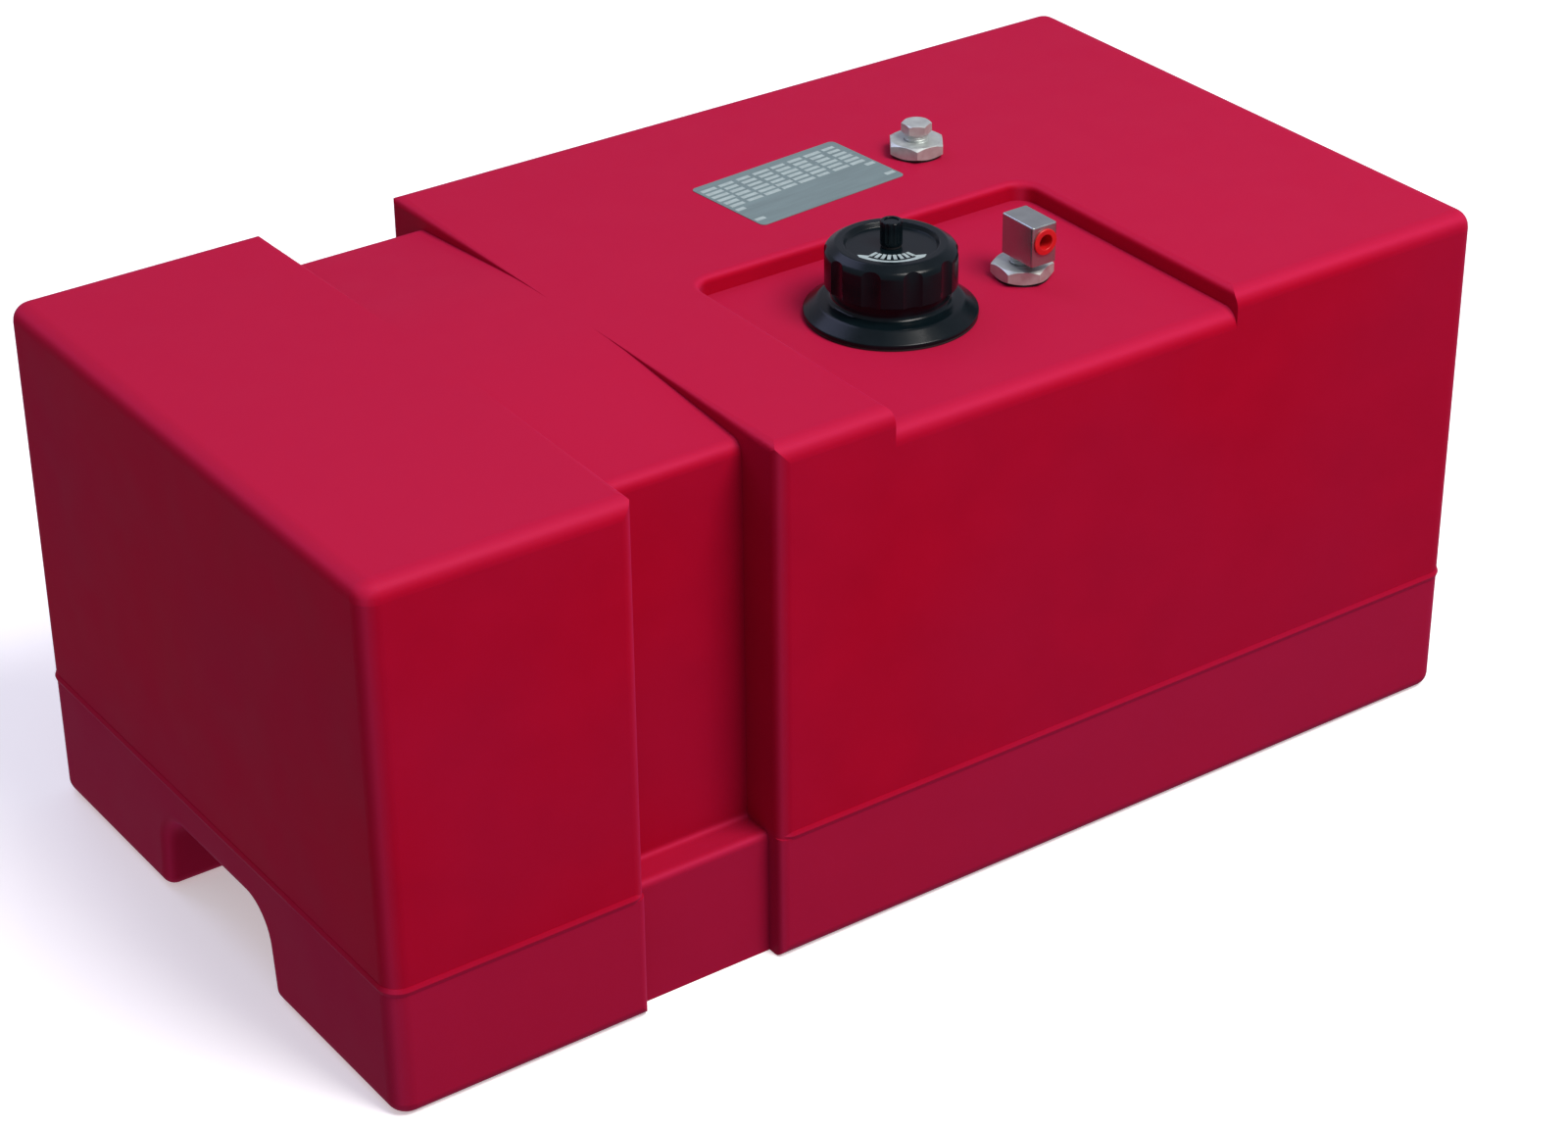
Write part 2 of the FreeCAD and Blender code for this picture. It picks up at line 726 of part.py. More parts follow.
pickup_insert = insert("pickup")
pickup_gasket = gasket("pickup")
pickup_bushing = bushing("pickup", "tail_radius + 0.3", "tail_length + 0.5", "pickup_turn")
spare_insert = insert("spare")
spare_gasket = gasket("spare")
spare_bushing = bushing("spare", "plug_radius + 0.3", "plug_length + 0.5", "spare_turn")

# fuel pickup: a block elbow with its outlet towards the near side, closed by a hollow plug
elbow_foot = "gasket_thick + bushing_height + elbow_gap"
tail_foot = "gasket_thick + bushing_height - tail_length"
outlet_height = f"{elbow_foot} + elbow_height - outlet_drop"
pickup_elbow = port_piece("pickup_elbow", "pickup")
block = new_sketch(pickup_elbow, "block_outline", "XY_Plane", elbow_foot)
half = "elbow_width / 2"
outline(block, [(f"-{half}", "-elbow_reach", "1.5"), (half, "-elbow_reach", "1.5"),
                (half, "elbow_width / 2", "1.5"), (f"-{half}", "elbow_width / 2", "1.5")])
pad(pickup_elbow, "block", block, "elbow_height")
turned(pickup_elbow, "tail", [("0", tail_foot), ("tail_radius", tail_foot, "0.8"),
                              ("tail_radius", f"{elbow_foot} + 1"), ("0", f"{elbow_foot} + 1")])
turned(pickup_elbow, "upright_bore", [("0", f"{tail_foot} - 1"),
                                      ("way_radius", f"{tail_foot} - 1"),
                                      ("way_radius", f"{outlet_height} + way_radius"),
                                      ("0", f"{outlet_height} + way_radius")], cut=True)
for name, radius, depth in (("outlet_entry", "entry_radius", "entry_depth"),
                            ("outlet", "outlet_radius", "entry_depth + outlet_depth"),
                            ("outlet_way", "way_radius", "elbow_reach")):
    face = new_sketch(pickup_elbow, f"{name}_outline", "XZ_Plane", "elbow_reach")
    circle(face, "0", outlet_height, radius)
    pocket(pickup_elbow, name, face, depth)
top = value_of(f"{elbow_foot} + elbow_height")
round_edges(pickup_elbow, "top_rounding", "1", lambda edge, m: near(m.z, top))

port_plug = new_body("port_plug")
placed(port_plug, "pickup_x", "pickup_y - elbow_reach", f"{recess_floor} + {outlet_height}",
       "90", Vector(1, 0, 0))
turned(port_plug, "plug", [("plug_hollow", "-cover_depth"),
                           ("entry_radius - 0.3", "-cover_depth", "0.8"),
                           ("entry_radius - 0.3", "0"), ("entry_radius + 0.8", "0", "0.4"),
                           ("entry_radius + 0.8", "1.5", "0.4"), ("plug_hollow", "1.5", "0.4")])
turned(port_plug, "web", [("0", "-cover_depth"), ("plug_hollow + 0.5", "-cover_depth"),
                          ("plug_hollow + 0.5", "1.2 - cover_depth"),
                          ("0", "1.2 - cover_depth")])

pickup_tube = port_piece("pickup_tube", "pickup")
tube_foot = f"tube_clear - ({recess_floor})"
turned(pickup_tube, "tube", tube("tube_radius - 1", "tube_radius", tube_foot,
                                 f"{tail_foot} - 1.5"))

pickup_screen = port_piece("pickup_screen", "pickup")
screen_foot = f"{tube_foot} - screen_below"
screen_top = f"{screen_foot} + screen_height"
turned(pickup_screen, "cup", [
    ("0", screen_foot), ("screen_radius", screen_foot, "1.5"),
    ("screen_radius", screen_top, "2"), ("tube_radius + 0.3", screen_top),
    ("tube_radius + 0.3", f"{screen_top} - 5"), ("screen_radius - 1.5", f"{screen_top} - 5"),
    ("screen_radius - 1.5", f"{screen_foot} + 1.5"), ("0", f"{screen_foot} + 1.5")])
window = new_sketch(pickup_screen, "window_outline", "XZ_Plane", "0")
outline(window, [("-2.5", f"{screen_foot} + 4", "1"), ("2.5", f"{screen_foot} + 4", "1"),
                 ("2.5", f"{screen_top} - 8", "1"), ("-2.5", f"{screen_top} - 8", "1")])
opening = pocket(pickup_screen, "window", window, "screen_radius + 2", up=True)
around(pickup_screen, opening, "6")

# spare port: a plug with a small hexagon head closes it
head_foot = "gasket_thick + bushing_height + plug_neck"
spare_plug = port_piece("spare_plug", "spare", "head_turn")
hex_block(spare_plug, "head", "head_flats", head_foot, "head_height")
turned(spare_plug, "shank", [("0", "gasket_thick + bushing_height - plug_length"),
                             ("plug_radius", "gasket_thick + bushing_height - plug_length", "1"),
                             ("plug_radius", f"{head_foot} + 1"), ("0", f"{head_foot} + 1")])

# bare plate on the top
data_plate = new_body("data_plate")
placed(data_plate, "plate_x", "plate_y", "tank_height", "plate_turn")
plate = new_sketch(data_plate, "plate_outline", "XY_Plane")
outline(plate, rectangle("plate_length / 2", "plate_width / 2", "plate_corner"))
pad(data_plate, "plate", plate, "plate_thick")

doc.recompute()
nodes = [tank, filler_neck, neck_gasket, cap_gasket, cap_baffle, cap_shell, vent_washer,
         vent_screw, vent_clip, pickup_insert, pickup_gasket, pickup_bushing, pickup_elbow,
         port_plug, pickup_tube, pickup_screen, spare_insert, spare_gasket, spare_bushing,
         spare_plug, data_plate]
for thing in doc.Objects:
    if {"Invalid", "Error"} & set(thing.State):
        raise RuntimeError(f"{thing.Label}: {thing.State}")
os.makedirs("parts", exist_ok=True)
for node in nodes:
    shape = node.Shape
    if shape.isNull() or not shape.isValid() or not shape.Solids:
        raise RuntimeError(f"{node.Label} has no valid solid")
    shape.exportStep(f"parts/{node.Label}.step")
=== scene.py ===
"""Looks of the outboard fuel tank, built round its packed frame. Metres, +Z up."""

import math

import bpy
from bpy.props import FloatProperty, FloatVectorProperty, IntProperty, PointerProperty
from bpy.types import Operator, Panel, PropertyGroup
from mathutils import Matrix, Vector


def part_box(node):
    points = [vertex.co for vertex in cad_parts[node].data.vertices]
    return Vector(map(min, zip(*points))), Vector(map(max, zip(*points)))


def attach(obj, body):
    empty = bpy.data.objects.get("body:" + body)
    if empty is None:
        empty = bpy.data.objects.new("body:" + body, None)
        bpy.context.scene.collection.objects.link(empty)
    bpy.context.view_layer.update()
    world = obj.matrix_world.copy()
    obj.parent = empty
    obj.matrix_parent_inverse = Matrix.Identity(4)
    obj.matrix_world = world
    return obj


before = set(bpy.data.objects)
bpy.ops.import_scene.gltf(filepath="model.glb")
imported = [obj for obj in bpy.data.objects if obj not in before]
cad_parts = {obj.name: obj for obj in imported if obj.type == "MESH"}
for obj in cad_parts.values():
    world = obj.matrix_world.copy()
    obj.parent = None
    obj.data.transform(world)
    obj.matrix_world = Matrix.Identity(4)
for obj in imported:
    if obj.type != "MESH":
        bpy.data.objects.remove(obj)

bl_info = {
    "name": "Outboard Fuel Tank",
    "version": (1, 0, 0),
    "blender": (4, 5, 0),
    "location": "View3D > Sidebar > Tank",
    "description": "Builds the looks of a moulded outboard fuel tank round its frame",
    "category": "Object",
}

MM = 0.001


def linear(code):
    """A colour's sRGB hex code as linear red, green and blue."""
    values = [int(code[i : i + 2], 16) / 255 for i in (1, 3, 5)]
    return tuple(v / 12.92 if v <= 0.04045 else ((v + 0.055) / 1.055) ** 2.4 for v in values)


def colour(name, code, about):
    """A colour to choose, given as its hex code."""
    return FloatVectorProperty(
        name=name, description=about, default=linear(code), subtype="COLOR", min=0, max=1
    )


def length(name, millimetres, about):
    """A length to choose, given in millimetres."""
    return FloatProperty(
        name=name, description=about, default=millimetres * MM, unit="LENGTH", precision=5
    )


def angle(name, degrees, about):
    """An angle to choose, given in degrees."""
    return FloatProperty(
        name=name, description=about, default=math.radians(degrees), unit="ROTATION", precision=5
    )


def position(name, metres, about):
    """A place to choose, given in metres."""
    return FloatVectorProperty(
        name=name, description=about, default=metres, subtype="TRANSLATION", unit="LENGTH"
    )


def amount(name, number, about, unit="NONE"):
    """A plain number to choose."""
    return FloatProperty(name=name, description=about, default=number, unit=unit, min=0)


def count(name, number, about, least=2):
    """A whole number to choose."""
    return IntProperty(name=name, description=about, default=number, min=least)


class TankLook(PropertyGroup):
    """Colours and grain of the tank."""

    moulding: colour("Moulding", "#A50724", "Crimson polyethylene of the tank")
    moulding_deep: colour("Moulding, deep", "#9F0622", "Its darker mottling")
    moulding_cloud: colour("Moulding, clouds", "#941236", "Its broad duller clouds")
    # Painted highlight on the rounded edges.
    moulding_painted_edge_highlight: colour("Moulding, edges", "#C02A54", "Its paler rounded edges")
    # Painted light: upward faces get a paler, bluer tone.
    moulding_painted_top_light: colour("Moulding, top", "#9F1636", "Upward faces, with painted light")
    # Painted reflection of the floor on the feet.
    moulding_painted_floor_reflection: colour("Moulding, feet", "#98183A", "Feet below the parting line")
    moulding_bloom: colour("Moulding, bloom", "#6A78FF", "Faint waxy bloom seen at a slant")
    # Below this height the feet get a painted reflection of the floor.
    foot: length("Foot height", 90, "Height of the parting line, below which the feet get a painted reflection")
    mottle: length("Mottle", 45, "Size of the powder's mottling")
    cloud: length("Clouds", 220, "Size of the broad clouds")
    peel: length("Orange peel", 1.6, "Size of the grain on the moulded skin")
    peel_depth: length("Orange peel depth", 0.04, "Depth of the grain on the moulded skin")
    wave: length("Waves", 60, "Size of the slow waves in the moulded skin")
    wave_depth: length("Wave depth", 0.8, "Depth of the slow waves in the moulded skin")
    black: colour("Black plastic", "#081216", "Cap, neck and vent knob")
    rubber: colour("Rubber", "#0C0C0D", "Gaskets")
    alloy: colour("Alloy", "#A8B0AE", "Pickup elbow and vent clip")
    plated: colour("Plating", "#BEC6C2", "Bushings and spare plug")
    brass: colour("Brass", "#C59A4A", "Moulded-in inserts")
    plug: colour("Plug plastic", "#C8161A", "Outlet plug")
    nylon: colour("Nylon", "#D9D8CF", "Pickup tube and strainer")
    foil: colour("Foil", "#778B8B", "Bare plate on the top")
    foil_print: colour("Foil print", "#97A8A6", "Blank fields on the plate")
    mark: colour("Marks", "#9DAEAE", "Painted turning marks on the cap")


class FillerSizes(PropertyGroup):
    """Sizes of the filler's thread and of the marks on its cap."""

    pitch: length("Thread pitch", 6, "Rise of the thread in one turn")
    neck_radius: length("Neck radius", 36.6, "Outside of the neck")
    cap_radius: length("Cap radius", 37.6, "Inside of the cap's skirt")
    ridge: length("Thread ridge", 0.8, "How far each thread stands out")
    thread_round: length("Thread round", 1.2, "Radius of the section of both threads")
    thread_depth: length("Thread depth", 20, "From the neck's rim down to the thread's middle")
    neck_turns: amount("Neck turns", 2.6, "Turns of the thread on the neck")
    cap_turns: amount("Cap turns", 1.6, "Turns of the thread in the cap")
    dish: length("Dish", 3, "From the cap's rim down to the dish that the marks are on")
    paint: length("Paint", 0.3, "Thickness of the marks")
    mark_radius: length("Mark radius", 24, "Middle of the curved arrow on the cap")
    mark_width: length("Mark width", 3.2, "Width of the curved arrow")
    mark_middle: angle("Mark middle", 235, "Direction of the arrow's middle")
    mark_sweep: angle("Mark sweep", 84, "How far round the arrow goes")
    head: length("Arrow head", 4.16, "Half of the width of each arrow head")
    tick_radius: length("Tick radius", 17, "Middle of the ticks inside the arrow")
    tick_length: length("Tick length", 6.5, "Length of a tick")
    tick_width: length("Tick width", 2.2, "Width of a tick")
    ticks: count("Ticks", 8, "Ticks inside the arrow")


class FittingSizes(PropertyGroup):
    """Sizes of the small threads and of the strainer."""

    vent_radius: length("Vent radius", 2.7, "Middle of the thread on the vent's stem")
    vent_round: length("Vent round", 0.35, "Radius of that thread's section")
    vent_pitch: length("Vent pitch", 1.5, "Rise of that thread in one turn")
    vent_turns: amount("Vent turns", 7.4, "Turns of that thread")
    vent_rise: length("Vent rise", 1.5, "From the clip up to that thread's middle")
    port_radius: length("Port radius", 7.7, "Middle of the thread in a port")
    port_round: length("Port round", 0.55, "Radius of that thread's section")
    port_pitch: length("Port pitch", 1.8, "Rise of that thread in one turn")
    port_depth: length("Port depth", 1.5, "From the bushing's top down to that thread's middle")
    pickup_turns: amount("Pickup turns", 3.6, "Turns of the thread in the pickup's bushing")
    spare_turns: amount("Spare turns", 3.2, "Turns of the thread in the spare bushing")
    wires: count("Wires", 36, "Upright wires round the strainer")
    wire_depth: length("Wire depth", 0.5, "Thickness of an upright wire, outwards")
    wire_width: length("Wire width", 0.4, "Width of an upright wire")
    hoops: count("Hoops", 13, "Hoops up the strainer")
    hoop_round: length("Hoop round", 0.3, "Radius of a hoop's section")
    hoop_step: length("Hoop step", 2, "From one hoop to the next, and from the end to the first")


class PlateSizes(PropertyGroup):
    """Sizes of the blank fields on the plate."""

    turn: angle("Plate turn", 4.7, "How far the plate is turned on the tank")
    ink: length("Ink", 0.1, "Thickness of the printed fields")
    columns: count("Columns", 8, "Blank fields in a row")
    rows: count("Rows", 6, "Rows of blank fields")
    field: length("Field length", 13.6, "Length of one blank field")
    field_width: length("Field width", 3.8, "Width of one blank field")
    table: length("Table length", 104, "From the first column's middle to the last one's")
    table_width: length("Table width", 30, "From the first row's middle to the last one's")
    table_along: length("Table along", -1, "From the plate's middle to the table's, lengthways")
    table_across: length("Table across", 14, "From the plate's middle to the table's, crossways")
    shift: length("Shift", 0.4, "Most that a field is out of line")
    shortest: amount("Shortest", 0.72, "Least share of its length that a field keeps")
    narrowest: amount("Narrowest", 0.85, "Least share of its width that a field keeps")
    table_seed: count("Table seed", 7, "Seed of the fields' lengths", least=0)
    stamp: length("Stamp length", 8, "Length of a stamp in the plate's corner")
    stamp_width: length("Stamp width", 4, "Width of a stamp")
    stamps: length("Stamps' length", 112, "From the left stamps' middle to the right ones'")
    stamps_width: length("Stamps' width", 20, "From the lower stamps' middle to the upper ones'")
    stamps_across: length("Stamps across", -18, "From the plate's middle to theirs, crossways")
    stamp_least: amount("Least stamp", 0.9, "Least share of its size that a stamp keeps")
    stamp_seed: count("Stamp seed", 3, "Seed of the stamps' sizes", least=0)


class StageSizes(PropertyGroup):
    """Floor, light and camera of the studio."""

    floor: length("Floor", 12000, "Side of the floor")
    gap: length("Floor gap", 0.2, "How far the floor lies below the feet")
    floor_tone: colour("Floor tone", "#F2F2F2", "Pale floor")
    floor_glow: amount("Floor glow", 0.42, "How far the floor is lit from below")
    sky: colour("Sky", "#E8E4F8", "Soft light from all round")
    sky_strength: amount("Sky strength", 0.5, "Strength of the soft light")
    aim: position("Aim", (0, 0, 0.2), "What both lights point at")
    key: colour("Key light", "#FFFAF5", "Main light, high at the front")
    key_place: position("Key place", (0.6, -1.85, 3.2), "Where the main light hangs")
    key_side: length("Key side", 1600, "Side of the main light")
    key_power: amount("Key power", 146, "Power of the main light", unit="POWER")
    back: colour("Back light", "#C8CCFF", "Weak light from behind")
    back_place: position("Back place", (-0.6, 2.4, 3.4), "Where the light from behind hangs")
    back_side: length("Back side", 2000, "Side of the light from behind")
    back_power: amount("Back power", 34, "Power of the light from behind", unit="POWER")
    camera: position("Camera", (-1.2120, -1.7494, 1.3567), "Where the camera is")
    azimuth: angle("Azimuth", -35.137, "How far round from the front the camera is")
    elevation: angle("Elevation", 29.903, "How far up the camera is")
    roll: angle("Roll", -0.486, "How far the camera is turned about its own line of sight")
    lens: amount("Lens", 84.58, "The camera's focal length", unit="CAMERA")
    film: amount("Film", 36, "Width of the camera's film", unit="CAMERA")


# ---------------------------------------------------------------- materials


def add(tree, kind, at=(0, 0), inputs=None, **settings):
    """A shader or geometry node with its settings and its inputs' values or links."""
    node = tree.nodes.new(kind)
    node.location = at
    for key, value in settings.items():
        setattr(node, key, value)
    for key, value in (inputs or {}).items():
        if isinstance(value, bpy.types.NodeSocket):
            tree.links.new(value, node.inputs[key])
        else:
            node.inputs[key].default_value = value
    return node


def rgba(values):
    """A colour with full cover, as sockets want it."""
    return (*values[:3], 1.0)


def new_material(name):
    """A new material with its tree and shader, or one made before, without them."""
    material = bpy.data.materials.get(name)
    if material:
        return material, None, None
    material = bpy.data.materials.new(name)
    material.use_nodes = True
    tree = material.node_tree
    return material, tree, tree.nodes["Principled BSDF"]


def moulding_material(look):
    """Rotationally moulded polyethylene. The mould gives it a waxy orange-peel skin, and the
    powder that it is made from leaves it a little mottled. Its rounded edges get a painted
    highlight, its upward faces a paler, bluer tone of painted light, and its feet below the
    parting line a painted reflection of the floor."""
    material, tree, shader = new_material("rotomoulded_polyethylene")
    if tree is None:
        return material
    place = add(tree, "ShaderNodeTexCoord", (-2100, 0)).outputs
    spot = add(tree, "ShaderNodeSeparateXYZ", (-1900, 900), {"Vector": place["Object"]})
    facing = add(tree, "ShaderNodeSeparateXYZ", (-1900, 700), {"Vector": place["Normal"]})
    mottle = add(tree, "ShaderNodeTexNoise", (-1900, 400),
                 {"Vector": place["Object"], "Scale": 1 / look.mottle, "Detail": 6.0})
    cloud = add(tree, "ShaderNodeTexNoise", (-1900, 200),
                {"Vector": place["Object"], "Scale": 1 / look.cloud, "Detail": 1.5})

    # Painted light: upward faces, but not the low ledges, get a paler, bluer tone that stands in
    # for the light falling on them.
    upward = add(tree, "ShaderNodeMapRange", (-1600, 700),
                 {"Value": facing.outputs["Z"], "From Min": 0.5, "From Max": 0.95})
    high = add(tree, "ShaderNodeMapRange", (-1600, 900),
               {"Value": spot.outputs["Z"], "From Min": 0.2, "From Max": 0.3})
    top = add(tree, "ShaderNodeMath", (-1400, 800),
              {0: upward.outputs["Result"], 1: high.outputs["Result"]}, operation="MULTIPLY")

    # A painted highlight on the rounded edges. A rounded edge faces none of the three axes
    # squarely, so the largest of the three is low.
    sides = add(tree, "ShaderNodeVectorMath", (-1900, 1200), {0: place["Normal"]},
                operation="ABSOLUTE")
    sides = add(tree, "ShaderNodeSeparateXYZ", (-1700, 1200), {"Vector": sides.outputs[0]})
    square = add(tree, "ShaderNodeMath", (-1500, 1200),
                 {0: sides.outputs["X"], 1: sides.outputs["Y"]}, operation="MAXIMUM")
    square = add(tree, "ShaderNodeMath", (-1300, 1200),
                 {0: square.outputs[0], 1: sides.outputs["Z"]}, operation="MAXIMUM")

    # Each zone: what it is told by, where it starts and ends, its strength at both, its tone.
    tone = rgba(look.moulding_deep)
    zones = (
        (mottle.outputs["Fac"], 0.3, 0.7, 0.0, 1.0, look.moulding),
        (cloud.outputs["Fac"], 0.35, 0.7, 0.0, 0.4, look.moulding_cloud),
        # Painted light on the upward faces.
        (top.outputs[0], 0.0, 1.0, 0.0, 1.0, look.moulding_painted_top_light),
        # Painted reflection of the floor on the feet below the parting line.
        (spot.outputs["Z"], look.foot - 4 * MM, look.foot + 3 * MM, 0.6, 0.0,
         look.moulding_painted_floor_reflection),
        # Painted highlight on the rounded edges.
        (square.outputs[0], 0.75, 0.97, 0.35, 0.0, look.moulding_painted_edge_highlight),
    )
    for at, (value, start, end, low, high, over) in enumerate(zones):
        share = add(tree, "ShaderNodeMapRange", (-1100 + 200 * at, 700),
                    {"Value": value, "From Min": start, "From Max": end, "To Min": low,
                     "To Max": high})
        tone = add(tree, "ShaderNodeMix", (-1100 + 200 * at, 400),
                   {"Factor": share.outputs["Result"], "A": tone, "B": rgba(over)},
                   data_type="RGBA").outputs["Result"]

    # Slow waves of a wall that shrank as it cooled, and the orange peel. Real peel is about
    # 0.8 mm across, and it is drawn twice as coarse so that it shows.
    wave = add(tree, "ShaderNodeTexNoise", (-1900, -200),
               {"Vector": place["Object"], "Scale": 1 / look.wave, "Detail": 1.0})
    slow = add(tree, "ShaderNodeBump", (-1600, -200),
               {"Height": wave.outputs["Fac"], "Strength": 1.0, "Distance": look.wave_depth})
    peel = add(tree, "ShaderNodeTexNoise", (-1900, -450),
               {"Vector": place["Object"], "Scale": 1 / look.peel, "Detail": 2.0})
    fine = add(tree, "ShaderNodeBump", (-1400, -350),
               {"Height": peel.outputs["Fac"], "Strength": 1.0, "Distance": look.peel_depth,
                "Normal": slow.outputs["Normal"]})
    rough = add(tree, "ShaderNodeMapRange", (-1600, 0),
                {"Value": mottle.outputs["Fac"], "From Min": 0.3, "From Max": 0.7,
                 "To Min": 0.4, "To Max": 0.52})
    tree.links.new(tone, shader.inputs["Base Color"])
    tree.links.new(rough.outputs["Result"], shader.inputs["Roughness"])
    tree.links.new(fine.outputs["Normal"], shader.inputs["Normal"])
    # A skin that hardly mirrors, with a faint bloom, over a body that lets a little light in.
    for key, value in {
        "Specular IOR Level": 0.012,
        "Sheen Weight": 0.04,
        "Sheen Roughness": 0.4,
        "Sheen Tint": rgba(look.moulding_bloom),
        "Subsurface Weight": 0.12,
        "Subsurface Radius": (0.006, 0.0015, 0.001),
        "Subsurface Scale": 1.0,
    }.items():
        shader.inputs[key].default_value = value
    return material


def worked_material(name, tone, rough, grain, depth=0.01 * MM, patch=8 * MM, metallic=0.0,
                    gloss=0.5, shade=0.82, stretch=1.0, turn=0.0):
    """A tone that varies in patches of one size, over a grain of another size and depth. The
    roughness runs from its first value, in the darker patches, to its second. Stretch draws
    both patterns out along a line that is turned about the upright."""
    material, tree, shader = new_material(name)
    if tree is None:
        return material
    place = add(tree, "ShaderNodeTexCoord", (-1500, 0))
    place = add(tree, "ShaderNodeMapping", (-1300, 0),
                {"Vector": place.outputs["Object"], "Rotation": (0, 0, turn),
                 "Scale": (stretch, 1, 1)}, vector_type="TEXTURE")
    patches = add(tree, "ShaderNodeTexNoise", (-1100, 200),
                  {"Vector": place.outputs["Vector"], "Scale": 1 / patch, "Detail": 4.0})
    patches = add(tree, "ShaderNodeMapRange", (-900, 200),
                  {"Value": patches.outputs["Fac"], "From Min": 0.3, "From Max": 0.7})
    mixed = add(tree, "ShaderNodeMix", (-500, 200),
                {"Factor": patches.outputs["Result"], "A": rgba([v * shade for v in tone[:3]]),
                 "B": rgba(tone)}, data_type="RGBA")
    dulled = add(tree, "ShaderNodeMapRange", (-500, 0),
                 {"Value": patches.outputs["Result"], "To Min": rough[0], "To Max": rough[1]})
    fine = add(tree, "ShaderNodeTexNoise", (-1100, -200),
               {"Vector": place.outputs["Vector"], "Scale": 1 / grain, "Detail": 2.0})
    raised = add(tree, "ShaderNodeBump", (-500, -200),
                 {"Height": fine.outputs["Fac"], "Strength": 1.0, "Distance": depth})
    tree.links.new(mixed.outputs["Result"], shader.inputs["Base Color"])
    tree.links.new(dulled.outputs["Result"], shader.inputs["Roughness"])
    tree.links.new(raised.outputs["Normal"], shader.inputs["Normal"])
    shader.inputs["Metallic"].default_value = metallic
    shader.inputs["Specular IOR Level"].default_value = gloss
    return material


def material_for(key, look):
    """The material of a finish, made when it is first asked for. Each grain is drawn at 0.6 to
    1.4 mm, because the real one, a tenth of that, is too fine to show."""
    makers = {
        "moulding": lambda: moulding_material(look),
        # Near black and smooth from a polished mould, with soft broad highlights.
        "black": lambda: worked_material(
            "injection_moulded_polypropylene", look.black, (0.2, 0.26), 1.2 * MM,
            depth=0.002 * MM, patch=10 * MM, gloss=0.16),
        # Cut from sheet: matt, with a fine even grain.
        "rubber": lambda: worked_material(
            "die_cut_nitrile_rubber", look.rubber, (0.6, 0.75), 0.6 * MM),
        # Clean flats that mirror what stands round them.
        "alloy": lambda: worked_material(
            "milled_aluminium", look.alloy, (0.18, 0.28), 1.4 * MM, depth=0.002 * MM,
            metallic=0.88, shade=0.88),
        # Pale and tumbled, so it scatters more light than it mirrors.
        "plated": lambda: worked_material(
            "zinc_plated_steel", look.plated, (0.34, 0.5), 1.4 * MM, depth=0.003 * MM,
            patch=5 * MM, metallic=0.6, shade=0.8),
        # Warm and bright, a little tarnished.
        "brass": lambda: worked_material(
            "turned_brass", look.brass, (0.25, 0.45), 0.8 * MM, metallic=1.0),
        # Soft, bright and slightly glossy.
        "plug": lambda: worked_material(
            "injection_moulded_soft_polyethylene", look.plug, (0.3, 0.4), 1.0 * MM),
        # Milky, with a dull shine.
        "nylon": lambda: worked_material(
            "extruded_nylon", look.nylon, (0.35, 0.5), 1.0 * MM),
        # Satin, with its brushing drawn out along the plate's length.
        "foil": lambda: worked_material(
            "brushed_aluminium_foil", look.foil, (0.42, 0.55), 0.6 * MM, depth=0.006 * MM,
            patch=3 * MM, metallic=0.4, shade=0.86, stretch=12.0,
            turn=bpy.context.scene.plate_sizes.turn),
        # Thin and flat, a little uneven where the screen pressed less.
        "print": lambda: worked_material(
            "screen_printed_ink", look.foil_print, (0.5, 0.6), 0.8 * MM, patch=4 * MM),
        # Flat and chalky, and worn thin in spots by hands.
        "mark": lambda: worked_material(
            "pad_printed_paint", look.mark, (0.45, 0.55), 0.6 * MM, patch=2 * MM, shade=0.7),
    }
    return makers[key]()


# ---------------------------------------------------------------- geometry trees

FLOAT, WHOLE, VECTOR, PAINT = (
    "NodeSocketFloat", "NodeSocketInt", "NodeSocketVector", "NodeSocketMaterial"
)


def new_tree(name, sizes):
    """A geometry tree with an input for each named size, and those inputs' sockets."""
    tree = bpy.data.node_groups.new(name, "GeometryNodeTree")
    for label, kind in {**sizes, "Material": PAINT}.items():
        tree.interface.new_socket(label, in_out="INPUT", socket_type=kind)
    tree.interface.new_socket("Geometry", in_out="OUTPUT", socket_type="NodeSocketGeometry")
    return tree, add(tree, "NodeGroupInput", (-1000, 0)).outputs


def end_tree(tree, geometry, sizes):
    """Moves what was made to its middle and gives it its material."""
    moved = add(tree, "GeometryNodeTransform", (400, 0),
                {"Geometry": geometry, "Translation": sizes["Middle"]})
    real = add(tree, "GeometryNodeRealizeInstances", (600, 0), {"Geometry": moved.outputs[0]})
    painted = add(tree, "GeometryNodeSetMaterial", (800, 0),
                  {"Geometry": real.outputs[0], "Material": sizes["Material"]})
    add(tree, "NodeGroupOutput", (1000, 0), {"Geometry": painted.outputs[0]})
    return tree


